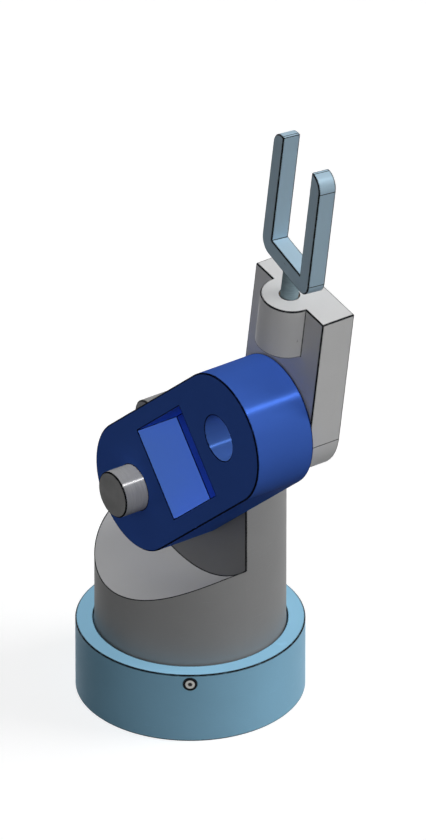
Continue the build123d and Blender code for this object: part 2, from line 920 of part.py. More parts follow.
with BuildPart() as upper_arm_link:
    with BuildSketch(link_side(link_back)):
        with Locations((link_length / 2, 0)):
            SlotCenterToCenter(link_length, link_width)
    extrude(amount=link_thickness)
    chamfer(upper_arm_link.faces().filter_by(Axis.Y).edges(), edge_break)
    with BuildSketch(link_side(link_front)):
        with Locations((link_length / 2, 0)):
            Rectangle(pocket_size, pocket_size)
    extrude(amount=-pocket_depth, mode=Mode.SUBTRACT)
    with BuildSketch(link_side(link_back)):
        Circle(pin_radius + held)
        with Locations((link_length, 0)):
            Circle(pin_radius)
    extrude(amount=link_thickness, mode=Mode.SUBTRACT)
    add(
        ring(
            elbow_turning,
            elbow_axis,
            pin_radius - relief_depth,
            pin_radius + relief_depth,
            plug_front - relief_width / 2,
            relief_width,
        ),
        mode=Mode.SUBTRACT,
    )
    with BuildSketch(link_side(link_back)):
        with Locations((0, pin_radius)):
            Rectangle(key_width + 2 * held, key_height + 2 * held)
    extrude(amount=key_length + 1 + held, mode=Mode.SUBTRACT)
    with BuildSketch(link_cross(-link_width, link_middle)):
        Circle(set_screw_radius + held)
    extrude(amount=link_width, mode=Mode.SUBTRACT)
    with BuildSketch(link_cross(link_length / 2, plug_screw_depth)):
        Circle(set_screw_radius + held)
    extrude(amount=link_length / 2, mode=Mode.SUBTRACT)
upper_arm_link.part.label = "upper_arm_link"
export_step(upper_arm_link.part, "parts/upper_arm_link.step")

# Shoulder shaft: keyed into the link, run in the bearing, and driven through a flat inside it.

with BuildPart() as shoulder_shaft:
    add(
        turned(
            shoulder_turning,
            shoulder_axis,
            [
                (0, shaft_front),
                (pin_radius - edge_break, shaft_front),
                (pin_radius, shaft_front + edge_break),
                (pin_radius, link_front),
                (pin_radius - relief_depth, link_front),
                (pin_radius - relief_depth, link_front + relief_width),
                (pin_radius, link_front + relief_width),
                (pin_radius, clip_start),
                (pin_radius - clip_depth, clip_start),
                (pin_radius - clip_depth, clip_start + clip_width + held),
                (pin_radius, clip_start + clip_width + held),
                (pin_radius, shaft_back),
                (0, shaft_back),
            ],
        )
    )
    add(
        drive_bar(
            link_side(shaft_back),
            shaft_back - link_back + drive_depth,
            held,
            drive_radius,
            drive_flat,
        ),
        mode=Mode.SUBTRACT,
    )
    with BuildSketch(link_side(link_back - 1)):
        with Locations((0, pin_radius)):
            Rectangle(key_width + 2 * held, key_height + 2 * held)
    extrude(amount=key_length + held, mode=Mode.SUBTRACT)
    with BuildSketch(link_cross(-link_width, link_middle)):
        Circle(set_screw_radius + held)
    extrude(amount=link_width - pin_radius + 1 + held, mode=Mode.SUBTRACT)
shoulder_shaft.part.label = "shoulder_shaft"
export_step(shoulder_shaft.part, "parts/shoulder_shaft.step")

with BuildPart() as shoulder_key:
    with BuildSketch(link_side(link_back - 1)):
        with Locations((0, pin_radius)):
            Rectangle(key_width, key_height)
    extrude(amount=key_length)
shoulder_key.part.label = "shoulder_key"
export_step(shoulder_key.part, "parts/shoulder_key.step")

with BuildPart() as link_set_screws:
    with BuildSketch(link_cross(end_screw_seat - 1, link_middle)):
        Circle(set_screw_radius)
    extrude(amount=set_screw_length + 1)
    with BuildSketch(link_cross(end_screw_seat - 1, link_middle)):
        RegularPolygon(set_screw_socket, 6)
    extrude(amount=set_screw_radius, mode=Mode.SUBTRACT)
    with BuildSketch(link_cross(pocket_start + pocket_size + 0.5, plug_screw_depth)):
        Circle(set_screw_radius)
    extrude(amount=link_length - pin_radius + 1 - pocket_start - pocket_size - 0.5)
    with BuildSketch(link_cross(pocket_start + pocket_size + 0.5, plug_screw_depth)):
        RegularPolygon(set_screw_socket, 6)
    extrude(amount=set_screw_radius, mode=Mode.SUBTRACT)
link_set_screws.part.label = "link_set_screws"
export_step(link_set_screws.part, "parts/link_set_screws.step")

with BuildPart() as shoulder_drive_shaft:
    add(
        drive_bar(
            link_side(plate_back + drive_depth),
            plate_back - link_back + 2 * drive_depth - face_gap,
            0,
            drive_radius,
            drive_flat,
        )
    )
shoulder_drive_shaft.part.label = "shoulder_drive_shaft"
export_step(shoulder_drive_shaft.part, "parts/shoulder_drive_shaft.step")

with BuildPart() as shoulder_bearing_inner:
    add(ring(shoulder_turning, shoulder_axis, pin_radius + held, race_radius, carrier_lip, bearing_width))
shoulder_bearing_inner.part.label = "shoulder_bearing_inner"
export_step(shoulder_bearing_inner.part, "parts/shoulder_bearing_inner.step")

with BuildPart() as shoulder_spacer:
    add(
        ring(
            shoulder_turning,
            shoulder_axis,
            pin_radius + held,
            race_radius - 0.2,
            link_back,
            carrier_lip - link_back,
        )
    )
shoulder_spacer.part.label = "shoulder_spacer"
export_step(shoulder_spacer.part, "parts/shoulder_spacer.step")

with BuildPart() as shoulder_clip:
    add(
        clip(
            shoulder_turning,
            shoulder_axis,
            link_side(clip_start + clip_width / 2),
            pin_radius,
            clip_start + held / 2,
            clip_width,
        )
    )
shoulder_clip.part.label = "shoulder_clip"
export_step(shoulder_clip.part, "parts/shoulder_clip.step")

# Elbow: a plug held in the back half of the link's bore carries the forearm on a bearing.

elbow_clip_start = elbow_lip + bearing_width + 0.1
plug_back = elbow_clip_start + clip_width + 0.5
elbow_motor_front = plug_back + face_gap + 0.1
elbow_motor_back = forearm_room_back
elbow_motor_length = elbow_motor_back - elbow_motor_front
elbow_rim_front = elbow_lip + bearing_width
elbow_screw_spots = circle_spots(elbow_screw_circle, 4, 45)

with BuildPart() as elbow_plug:
    add(
        turned(
            elbow_turning,
            elbow_axis,
            [
                (0, plug_front),
                (pin_radius - held - edge_break, plug_front),
                (pin_radius - held, plug_front + edge_break),
                (pin_radius - held, elbow_clip_start),
                (pin_radius - clip_depth, elbow_clip_start),
                (pin_radius - clip_depth, elbow_clip_start + clip_width + held),
                (pin_radius - held, elbow_clip_start + clip_width + held),
                (pin_radius - held, plug_back),
                (0, plug_back),
            ],
        )
    )
    add(
        drive_bar(link_end(plug_back), plug_back - plug_front - plug_floor, held, drive_radius, drive_flat),
        mode=Mode.SUBTRACT,
    )
    with BuildSketch(link_cross(link_length / 2, plug_screw_depth)):
        Circle(set_screw_radius + held)
    extrude(amount=link_length / 2 - pin_radius + 1 + held, mode=Mode.SUBTRACT)
elbow_plug.part.label = "elbow_plug"
export_step(elbow_plug.part, "parts/elbow_plug.step")

with BuildPart() as elbow_bearing_inner:
    add(ring(elbow_turning, elbow_axis, pin_radius, race_radius, elbow_lip, bearing_width))
elbow_bearing_inner.part.label = "elbow_bearing_inner"
export_step(elbow_bearing_inner.part, "parts/elbow_bearing_inner.step")

with BuildPart() as elbow_spacer:
    add(ring(elbow_turning, elbow_axis, pin_radius, race_radius - 0.2, link_back, elbow_lip - link_back))
elbow_spacer.part.label = "elbow_spacer"
export_step(elbow_spacer.part, "parts/elbow_spacer.step")

with BuildPart() as elbow_clip:
    add(
        clip(
            elbow_turning,
            elbow_axis,
            link_end(elbow_clip_start + clip_width / 2),
            pin_radius,
            elbow_clip_start + held / 2,
            clip_width,
        )
    )
elbow_clip.part.label = "elbow_clip"
export_step(elbow_clip.part, "parts/elbow_clip.step")

elbow_drive_length = elbow_motor_length * 0.6
with BuildPart() as elbow_drive_shaft:
    add(
        drive_bar(
            link_end(elbow_motor_front + elbow_drive_length),
            elbow_motor_front + elbow_drive_length - plug_front - plug_floor - face_gap,
            0,
            drive_radius,
            drive_flat,
        )
    )
elbow_drive_shaft.part.label = "elbow_drive_shaft"
export_step(elbow_drive_shaft.part, "parts/elbow_drive_shaft.step")

# Forearm: a shallow housing, closed at the back by a lid, with a half-round boss for the wrist.

boss_start = forearm_reach - boss_height
wall_top = forearm_reach - bush_length
channel_start = boss_start + forearm_front
bush_radius = stem_radius + bush_wall
lid_inset = forearm_wall - lid_ledge
lid_boss_bite = 1  # how far the lid's screw bosses reach into the walls
lid_side = forearm_width / 2 - forearm_wall - screw_size + lid_boss_bite
lid_low = sqrt((elbow_motor_radius + screw_size) ** 2 - lid_side**2) + face_gap
lid_high = wall_top - screw_size + lid_boss_bite
lid_spots = [
    (side * lid_side, height)
    for side in (-1, 1)
    for height in (lid_low, (lid_low + lid_high) / 2, lid_high)
]
lid_room = 0.1
wrist_motor_length = wall_top - channel_start - stem_room
clamp_middle = channel_start + wrist_motor_length / 2
clamp_screw_side = channel_radius + small_screw_size + 0.4
clamp_spots = [(-clamp_screw_side, clamp_middle), (clamp_screw_side, clamp_middle)]


def forearm_rear(depth):
    # Faces backwards, with y along the forearm.
    return Plane(origin=elbow + Vector(0, depth, 0), x_dir=across * -1, z_dir=(0, 1, 0))


def is_boss_rim(edge):
    return abs(edge.radius - boss_radius) < held


def forearm_outline(inset, top):
    # Outline of the forearm, drawn in by an inset: a round lower end and a square top.
    with BuildSketch() as outline:
        Circle(forearm_width / 2 - inset)
        Rectangle(forearm_width - 2 * inset, top, align=(Align.CENTER, Align.MIN))
    return outline.sketch


with BuildPart() as forearm_housing:
    with BuildSketch(forearm_side(forearm_back)):
        add(forearm_outline(0, forearm_reach))
    extrude(amount=forearm_thickness)
    chamfer(forearm_housing.edges().filter_by(Axis.Y).sort_by(wrist_axis)[-2:], edge_break)
    chamfer(forearm_housing.faces().filter_by(Axis.Y).edges(), edge_break)
    with BuildSketch(wrist_plane(boss_start)):
        Circle(boss_radius)
        with Locations((0, forearm_front)):
            Rectangle(4 * boss_radius, 2 * boss_radius, align=(Align.CENTER, Align.MIN), mode=Mode.SUBTRACT)
    extrude(amount=boss_height)
    chamfer(forearm_housing.edges().filter_by(GeomType.CIRCLE).filter_by(is_boss_rim), edge_break)
    # Room from the back, a ledge for the lid, and the ring that seats the elbow bearing and motor
    with BuildSketch(forearm_side(forearm_back)):
        add(forearm_outline(lid_inset, forearm_reach - lid_inset))
    extrude(amount=forearm_lid, mode=Mode.SUBTRACT)
    with BuildSketch(forearm_side(forearm_back)):
        add(forearm_outline(forearm_wall, wall_top))
    extrude(amount=forearm_back - forearm_front, mode=Mode.SUBTRACT)
    with BuildSketch(forearm_side(elbow_motor_front)):
        Circle(elbow_ring_radius)
        with Locations(*elbow_screw_spots):
            Circle(screw_size)
    extrude(amount=elbow_motor_front - forearm_front)
    with BuildSketch(forearm_side(forearm_room_back)):
        with Locations(*lid_spots):
            Circle(screw_size)
    extrude(amount=forearm_room_back - forearm_front)
    add(
        turned(
            elbow_turning,
            elbow_axis,
            [
                (0, -1),
                (race_opening, -1),
                (race_opening, elbow_lip),
                (bearing_radius + held, elbow_lip),
                (bearing_radius + held, elbow_motor_front + 1),
                (0, elbow_motor_front + 1),
            ],
        ),
        mode=Mode.SUBTRACT,
    )
    add(
        plain_holes(
            forearm_rear(elbow_motor_front),
            elbow_screw_spots,
            screw_size / 2 + held,
            elbow_screw_bite + hole_spare,
        ),
        mode=Mode.SUBTRACT,
    )
    add(
        plain_holes(
            forearm_rear(forearm_room_back),
            lid_spots,
            screw_size / 2 + held,
            screw_bite + hole_spare,
        ),
        mode=Mode.SUBTRACT,
    )
    # The channel for the wrist motor, and the bush's seat in the top wall
    with BuildSketch(wrist_plane(channel_start)):
        Circle(channel_radius)
        Rectangle(2 * channel_radius, forearm_front + 1, align=(Align.CENTER, Align.MIN))
    extrude(amount=wall_top - channel_start, mode=Mode.SUBTRACT)
    with BuildSketch(wrist_plane(wall_top - 1)):
        Circle(bush_radius + held)
    extrude(amount=bush_length, mode=Mode.SUBTRACT)
    with BuildSketch(wrist_plane(wall_top)):
        Circle(stem_radius + edge_break)
    extrude(amount=2 * bush_length, mode=Mode.SUBTRACT)
    add(
        plain_holes(
            forearm_rear(forearm_front),
            clamp_spots,
            small_screw_size / 2 + held,
            clamp_screw_bite + hole_spare,
        ),
        mode=Mode.SUBTRACT,
    )
forearm_housing.part.label = "forearm_housing"
export_step(forearm_housing.part, "parts/forearm_housing.step")

with BuildPart() as forearm_lid_cover:
    with BuildSketch(forearm_side(forearm_back)):
        add(forearm_outline(lid_inset + lid_room, forearm_reach - lid_inset - lid_room))
    extrude(amount=forearm_lid)
    add(flush_holes(forearm_rear(forearm_back), lid_spots, screw_size, forearm_lid), mode=Mode.SUBTRACT)
forearm_lid_cover.part.label = "forearm_lid"
export_step(forearm_lid_cover.part, "parts/forearm_lid.step")

with BuildPart() as forearm_lid_screws:
    add(flush_screws(forearm_rear(forearm_back), lid_spots, screw_size, forearm_lid + screw_bite))
forearm_lid_screws.part.label = "forearm_lid_screws"
export_step(forearm_lid_screws.part, "parts/forearm_lid_screws.step")

# Elbow drive: bearing ring, flat gearmotor and its screws.

elbow_screw_seat = elbow_motor_back - screw_size

with BuildPart() as elbow_bearing_outer:
    add(bearing_outer(elbow_turning, elbow_axis, elbow_lip))
elbow_bearing_outer.part.label = "elbow_bearing_outer"
export_step(elbow_bearing_outer.part, "parts/elbow_bearing_outer.step")

with BuildPart() as elbow_motor:
    add(
        turned(
            elbow_turning,
            elbow_axis,
            [
                (drive_radius + running, elbow_motor_front),
                (race_opening, elbow_motor_front),
                (race_opening, elbow_rim_front),
                (bearing_radius - held, elbow_rim_front),
                (bearing_radius - held, elbow_motor_front),
                (elbow_motor_radius, elbow_motor_front),
                (elbow_motor_radius, elbow_motor_back),
                (0, elbow_motor_back),
                (0, elbow_motor_front + elbow_drive_length + face_gap),
                (drive_radius + running, elbow_motor_front + elbow_drive_length + face_gap),
            ],
        )
    )
    add(
        plain_holes(
            forearm_rear(elbow_motor_back),
            elbow_screw_spots,
            screw_size / 2 + held,
            elbow_motor_length,
        ),
        mode=Mode.SUBTRACT,
    )
    add(
        plain_holes(
            forearm_rear(elbow_motor_back),
            elbow_screw_spots,
            screw_size * head_ratio + held,
            screw_size,
        ),
        mode=Mode.SUBTRACT,
    )
elbow_motor.part.label = "elbow_motor"
export_step(elbow_motor.part, "parts/elbow_motor.step")

with BuildPart() as elbow_motor_screws:
    add(
        socket_screws(
            forearm_rear(elbow_screw_seat),
            elbow_screw_spots,
            screw_size,
            elbow_screw_seat - elbow_motor_front + elbow_screw_bite,
        )
    )
elbow_motor_screws.part.label = "elbow_motor_screws"
export_step(elbow_motor_screws.part, "parts/elbow_motor_screws.step")

# Wrist: a small gearmotor in the boss, under a strap, turns the fork's stem in a flanged bush.

wrist_motor_start = channel_start + face_gap
wrist_motor_end = wrist_motor_start + wrist_motor_length
wrist_pilot = 1
stem_start = wrist_motor_end + wrist_pilot + face_gap
bush_start = wall_top - bush_flange
stem_clip_start = bush_start - face_gap - stem_clip_width
stem_end = fork_foot + stem_seat
stem_bore_end = stem_start + drive_depth
wrist_drive_start = wrist_motor_end - wrist_motor_length / 2

with BuildPart() as wrist_motor:
    add(
        turned(
            wrist_turning,
            wrist_axis,
            [
                (0, wrist_motor_start),
                (wrist_motor_radius, wrist_motor_start),
                (wrist_motor_radius, wrist_motor_end),
                (stem_radius, wrist_motor_end),
                (stem_radius, wrist_motor_end + wrist_pilot),
                (wrist_drive_radius + running, wrist_motor_end + wrist_pilot),
                (wrist_drive_radius + running, wrist_drive_start - face_gap),
                (0, wrist_drive_start - face_gap),
            ],
        )
    )
wrist_motor.part.label = "wrist_motor"
export_step(wrist_motor.part, "parts/wrist_motor.step")

with BuildPart() as wrist_motor_strap:
    with BuildSketch(wrist_plane(clamp_middle - clamp_width / 2)):
        Circle(wrist_motor_radius + held + clamp_wall)
        with Locations((0, forearm_front)):
            Rectangle(
                2 * (clamp_screw_side + small_screw_size),
                clamp_wall,
                align=(Align.CENTER, Align.MIN),
            )
            Rectangle(
                4 * wrist_motor_radius,
                2 * wrist_motor_radius,
                align=(Align.CENTER, Align.MAX),
                mode=Mode.SUBTRACT,
            )
        Circle(wrist_motor_radius + held, mode=Mode.SUBTRACT)
    extrude(amount=clamp_width)
    add(
        plain_holes(
            forearm_rear(forearm_front + clamp_wall),
            clamp_spots,
            small_screw_size / 2 + held,
            clamp_wall,
        ),
        mode=Mode.SUBTRACT,
    )
wrist_motor_strap.part.label = "wrist_motor_strap"
export_step(wrist_motor_strap.part, "parts/wrist_motor_strap.step")

with BuildPart() as wrist_strap_screws:
    add(
        socket_screws(
            forearm_rear(forearm_front + clamp_wall),
            clamp_spots,
            small_screw_size,
            clamp_wall + clamp_screw_bite,
        )
    )
wrist_strap_screws.part.label = "wrist_strap_screws"
export_step(wrist_strap_screws.part, "parts/wrist_strap_screws.step")

with BuildPart() as wrist_bush:
    add(
        turned(
            wrist_turning,
            wrist_axis,
            [
                (stem_radius + running, bush_start),
                (bush_radius + 2, bush_start),
                (bush_radius + 2, wall_top),
                (bush_radius, wall_top),
                (bush_radius, wall_top + bush_length - 1),
                (stem_radius + running, wall_top + bush_length - 1),
            ],
        )
    )
wrist_bush.part.label = "wrist_bush"
export_step(wrist_bush.part, "parts/wrist_bush.step")

with BuildPart() as fork_stem:
    add(
        turned(
            wrist_turning,
            wrist_axis,
            [
                (0, stem_start),
                (stem_radius, stem_start),
                (stem_radius, stem_clip_start),
                (stem_radius - clip_depth, stem_clip_start),
                (stem_radius - clip_depth, stem_clip_start + stem_clip_width + held),
                (stem_radius, stem_clip_start + stem_clip_width + held),
                (stem_radius, stem_end),
                (0, stem_end),
            ],
        )
    )
    add(
        drive_bar(
            wrist_plane(stem_start),
            drive_depth,
            held,
            wrist_drive_radius,
            wrist_drive_radius * drive_flat / drive_radius,
        ),
        mode=Mode.SUBTRACT,
    )
fork_stem.part.label = "fork_stem"
export_step(fork_stem.part, "parts/fork_stem.step")

with BuildPart() as stem_clip:
    add(
        clip(
            wrist_turning,
            wrist_axis,
            wrist_plane(stem_clip_start + stem_clip_width / 2),
            stem_radius,
            stem_clip_start + held / 2,
            stem_clip_width,
        )
    )
stem_clip.part.label = "stem_clip"
export_step(stem_clip.part, "parts/stem_clip.step")

with BuildPart() as wrist_drive_shaft:
    add(
        drive_bar(
            wrist_plane(wrist_drive_start),
            stem_bore_end - face_gap - wrist_drive_start,
            0,
            wrist_drive_radius,
            wrist_drive_radius * drive_flat / drive_radius,
        )
    )
wrist_drive_shaft.part.label = "wrist_drive_shaft"
export_step(wrist_drive_shaft.part, "parts/wrist_drive_shaft.step")

# Fork: a U of flat bar with two square-cut fingers, pressed on the stem.

finger_reach = fork_top - fork_foot

with BuildPart() as fork:
    with BuildSketch(wrist_turning) as fork_outline:
        with Locations((0, fork_foot)):
            Rectangle(fork_width, finger_reach, align=(Align.CENTER, Align.MIN))
        fillet(fork_outline.vertices(), fork_corner)
        with Locations((0, fork_foot + bar_thickness)):
            Rectangle(
                fork_width - 2 * finger_width,
                finger_reach,
                align=(Align.CENTER, Align.MIN),
                mode=Mode.SUBTRACT,
            )
    extrude(amount=fork_depth / 2, both=True)
    chamfer(fork.faces().filter_by(wrist_turning).edges(), edge_break)
    with BuildSketch(wrist_plane(fork_foot - 1)):
        Circle(stem_radius + held)
    extrude(amount=stem_seat + 1, mode=Mode.SUBTRACT)
fork.part.label = "fork"
export_step(fork.part, "parts/fork.step")
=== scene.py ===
import json
import math
import bpy
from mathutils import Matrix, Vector


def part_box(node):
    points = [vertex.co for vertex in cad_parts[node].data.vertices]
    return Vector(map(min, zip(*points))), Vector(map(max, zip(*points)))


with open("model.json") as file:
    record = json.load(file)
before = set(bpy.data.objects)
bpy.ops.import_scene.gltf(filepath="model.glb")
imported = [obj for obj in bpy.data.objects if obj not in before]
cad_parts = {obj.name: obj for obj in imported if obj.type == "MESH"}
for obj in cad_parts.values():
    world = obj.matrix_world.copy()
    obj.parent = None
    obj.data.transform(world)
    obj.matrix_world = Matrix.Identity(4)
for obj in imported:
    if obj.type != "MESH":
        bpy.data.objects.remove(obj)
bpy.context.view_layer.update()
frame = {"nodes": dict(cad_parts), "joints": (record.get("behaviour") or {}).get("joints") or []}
nodes = frame["nodes"]
joints = {joint["name"]: joint for joint in frame["joints"]}
print("frame loaded:", len(nodes), "nodes")

# Lines and places that the finishes follow
mm = 0.001
sideways = Vector((0, 1, 0))
upwards = Vector((0, 0, 1))
shoulderSpot = Vector(joints["shoulder"]["pos_m"])
elbowSpot = Vector(joints["elbow"]["pos_m"])
linkLine = (elbowSpot - shoulderSpot).normalized()
linkAcross = sideways.cross(linkLine)
linkLength = (elbowSpot - shoulderSpot).length
wristLine = Vector(joints["wrist"]["axis"]).normalized()
wristAcross = sideways.cross(wristLine)


# Camera: a long lens from ten metres away, so that the view is nearly parallel
cameraSettings = {
    "azimuth": 54.78,  # degrees round from the front
    "elevation": 30.45,
    "frameHeight": 0.4384,  # metres that the long side of the picture spans
    "aimRight": 0.0118,  # from the base's centre to the middle of the picture
    "aimUp": 0.1365,
    "lens": 864,
    "sensor": 36,
}


def buildCamera(settings):
    azimuth = math.radians(settings["azimuth"])
    elevation = math.radians(settings["elevation"])
    right = Vector((math.cos(azimuth), math.sin(azimuth), 0))
    back = Vector((
        math.sin(azimuth) * math.cos(elevation),
        -math.cos(azimuth) * math.cos(elevation),
        math.sin(elevation),
    ))
    up = back.cross(right)
    distance = settings["frameHeight"] * settings["lens"] / settings["sensor"]
    data = bpy.data.cameras.new("camera")
    data.lens = settings["lens"]
    data.sensor_width = settings["sensor"]
    data.clip_start = distance * 0.5
    data.clip_end = distance * 4
    camera = bpy.data.objects.new("camera", data)
    camera.location = right * settings["aimRight"] + up * settings["aimUp"] + back * distance
    camera.rotation_mode = "QUATERNION"
    camera.rotation_quaternion = back.to_track_quat("Z", "Y")
    bpy.context.scene.collection.objects.link(camera)
    bpy.context.scene.camera = camera


buildCamera(cameraSettings)
bpy.context.scene.view_settings.view_transform = "Standard"
print("camera placed")


# Node helpers
class Tree:
    # Adds nodes to a material and joins them, from left to right
    def __init__(self, material):
        self.nodes = material.node_tree.nodes
        self.links = material.node_tree.links

    def add(self, kind, **values):
        node = self.nodes.new(kind)
        for key, value in values.items():
            setattr(node, key, value)
        return node

    def feed(self, socket, value):
        if isinstance(value, bpy.types.NodeSocket):
            self.links.new(value, socket)
        else:
            socket.default_value = value

    def math(self, operation, first, second=0.0):
        node = self.add("ShaderNodeMath", operation=operation)
        self.feed(node.inputs[0], first)
        self.feed(node.inputs[1], second)
        return node.outputs[0]

    def dot(self, first, second):
        node = self.add("ShaderNodeVectorMath", operation="DOT_PRODUCT")
        self.feed(node.inputs[0], first)
        self.feed(node.inputs[1], second)
        return node.outputs["Value"]

    def span(self, value, fromLow, fromHigh, toLow=0.0, toHigh=1.0):
        node = self.add("ShaderNodeMapRange", clamp=True)
        self.feed(node.inputs["Value"], value)
        node.inputs["From Min"].default_value = fromLow
        node.inputs["From Max"].default_value = fromHigh
        node.inputs["To Min"].default_value = toLow
        node.inputs["To Max"].default_value = toHigh
        return node.outputs["Result"]

    def noise(self, vector, scale, detail=3.0, roughness=0.55):
        node = self.add("ShaderNodeTexNoise")
        self.feed(node.inputs["Vector"], vector)
        node.inputs["Scale"].default_value = scale
        node.inputs["Detail"].default_value = detail
        node.inputs["Roughness"].default_value = roughness
        return node.outputs[0]

    def stretch(self, vector, scales):
        node = self.add("ShaderNodeVectorMath", operation="MULTIPLY")
        self.feed(node.inputs[0], vector)
        node.inputs[1].default_value = scales
        return node.outputs[0]

    def blend(self, factor, first, second):
        node = self.add("ShaderNodeMix", data_type="RGBA")
        self.feed(node.inputs["Factor"], factor)
        self.feed(node.inputs[6], first)
        self.feed(node.inputs[7], second)
        return node.outputs[2]

    def bump(self, height, strength, distance):
        node = self.add("ShaderNodeBump")
        self.feed(node.inputs["Height"], height)
        node.inputs["Strength"].default_value = strength
        node.inputs["Distance"].default_value = distance
        return node.outputs[0]


def linear(red, green, blue):
    # A colour as it is read off a screen, 0 to 255, as the shader wants it
    def one(value):
        value = value / 255
        return value / 12.92 if value <= 0.04045 else ((value + 0.055) / 1.055) ** 2.4

    return (one(red), one(green), one(blue), 1.0)


def shade(colour, factor):
    return (colour[0] * factor, colour[1] * factor, colour[2] * factor, 1.0)


def newMaterial(name):
    material = bpy.data.materials.new(name)
    material.use_nodes = True
    tree = Tree(material)
    shader = tree.nodes["Principled BSDF"]
    return material, tree, shader


chamferLean = {"least": 0.5, "most": 0.88}  # cosine between a chamfer and the line that it leans to
edgeTurn = {"start": 0.995, "full": 0.975}  # cosine between the rounded and the true normal
seamHalf = 0.25 * mm  # half the width of a drawn line
skin = 0.05 * mm  # how far off a face a mask may reach
chamferBand = 0.6 * mm  # how deep the chamfers reach


def within(tree, value, low, high):
    # 1 where a value lies between two bounds
    above = tree.math("GREATER_THAN", value, low)
    return tree.math("MULTIPLY", above, tree.math("LESS_THAN", value, high))


def reachOf(tree, place, start, line):
    # How far along a line a point lies
    return tree.math("SUBTRACT", tree.dot(place, line), start.dot(line))


def size(tree, value):
    return tree.math("ABSOLUTE", value)


def both(tree, first, second):
    return tree.math("MULTIPLY", first, second)


def bevelFaces(tree, line):
    # 1 on the chamfers that lean half way towards a line
    normal = tree.add("ShaderNodeTexCoord").outputs["Normal"]
    return within(tree, size(tree, tree.dot(normal, line)), chamferLean["least"], chamferLean["most"])


def edgeMask(tree, width):
    # 1 along every edge of a piece, 0 on its faces: how far a rounded normal leans from the true one
    rounded = tree.add("ShaderNodeBevel", samples=8)
    rounded.inputs["Radius"].default_value = width
    geometry = tree.add("ShaderNodeNewGeometry")
    agreement = tree.dot(rounded.outputs[0], geometry.outputs["True Normal"])
    return tree.span(agreement, edgeTurn["start"], edgeTurn["full"])


def swing(tree, noise, cut, middle, reach):
    # A value that swings round its middle with a noise
    return tree.span(noise, *cut, middle - reach, middle + reach)


# What the finishes of each kind share: scales are in cycles per metre, tones are factors of the
# colour, and a cut says where in its noise a pattern starts and is full
coating = {
    "cloudCut": (0.3, 0.7),
    "speckCut": (0.35, 0.65), "speckTone": 0.8,
    "scratchCut": (0.66, 0.74), "scratchTone": 1.35, "scratchGloss": 0.3,
    "wearScale": 260.0, "wearCut": (0.30, 0.45), "wearLeast": 0.82,
    "roughnessSwing": 0.05, "bumpReach": 0.1 * mm,
}
grinding = {
    "lineCut": (0.3, 0.7), "lineTones": (0.86, 1.1),
    "stain": 0.25, "stainScale": 90.0, "stainCut": (0.35, 0.7), "stainTone": 0.75,
    "roughnessSwing": 0.07, "bumpReach": 0.05 * mm,
}
moulding = {
    "mottleScale": 120.0, "mottleCut": (0.3, 0.7), "mottleTones": (0.94, 1.04),
    "sparkScale": 2500.0, "sparkCut": (0.3, 0.7), "bump": 0.15,
    "roughnessSwing": 0.06, "bumpReach": 0.05 * mm,
}


# Painted, anodised and blasted metal: a colour with a cloudy variation, a fine grain in the
# surface, faint hairline scratches and dark burnished edges
def coatedMetal(name, settings):
    material, tree, shader = newMaterial(name)
    place = tree.add("ShaderNodeTexCoord").outputs["Object"]
    colour = settings["colour"]
    cloud = tree.span(tree.noise(place, settings["cloudScale"], 4.0), *coating["cloudCut"])
    tone = tree.blend(cloud, shade(colour, 1 - settings["cloud"]), shade(colour, 1 + settings["cloud"]))
    grain = tree.noise(place, settings["grainScale"], 2.0)
    speck = tree.math("MULTIPLY", tree.span(grain, *coating["speckCut"]), settings["speck"])
    tone = tree.blend(speck, tone, shade(colour, coating["speckTone"]))
    stretched = tree.stretch(place, settings["scratchAlong"])
    ridges = tree.noise(stretched, settings["scratchScale"], 2.0, 0.7)
    scratch = tree.math("MULTIPLY", tree.span(ridges, *coating["scratchCut"]), settings["scratch"])
    tone = tree.blend(scratch, tone, shade(colour, coating["scratchTone"]))
    # Patches of painted light and shade laid over the colour
    for patch in settings.get("paintedLightAndShade", []):
        tone = tree.blend(patch["where"](tree, place), tone, patch["colour"])
    edge = edgeMask(tree, settings["edgeWidth"])
    for marked in settings.get("darkened", []):
        edge = tree.math("MAXIMUM", edge, marked(tree, place))
    wear = tree.noise(place, coating["wearScale"], 3.0)
    edge = tree.math("MULTIPLY", edge, tree.span(wear, *coating["wearCut"], coating["wearLeast"]))
    tone = tree.blend(edge, tone, settings["edgeColour"])
    tree.feed(shader.inputs["Base Color"], tone)
    rough = swing(tree, grain, coating["cloudCut"], settings["roughness"], coating["roughnessSwing"])
    gloss = tree.math("MULTIPLY", scratch, coating["scratchGloss"])
    tree.feed(shader.inputs["Roughness"], tree.math("SUBTRACT", rough, gloss))
    shader.inputs["Metallic"].default_value = settings["metallic"]
    shader.inputs["Specular IOR Level"].default_value = settings["specular"]
    height = tree.math("ADD", tree.math("MULTIPLY", grain, settings["grainDepth"]), scratch)
    tree.feed(shader.inputs["Normal"], tree.bump(height, settings["bump"], coating["bumpReach"]))
    return material


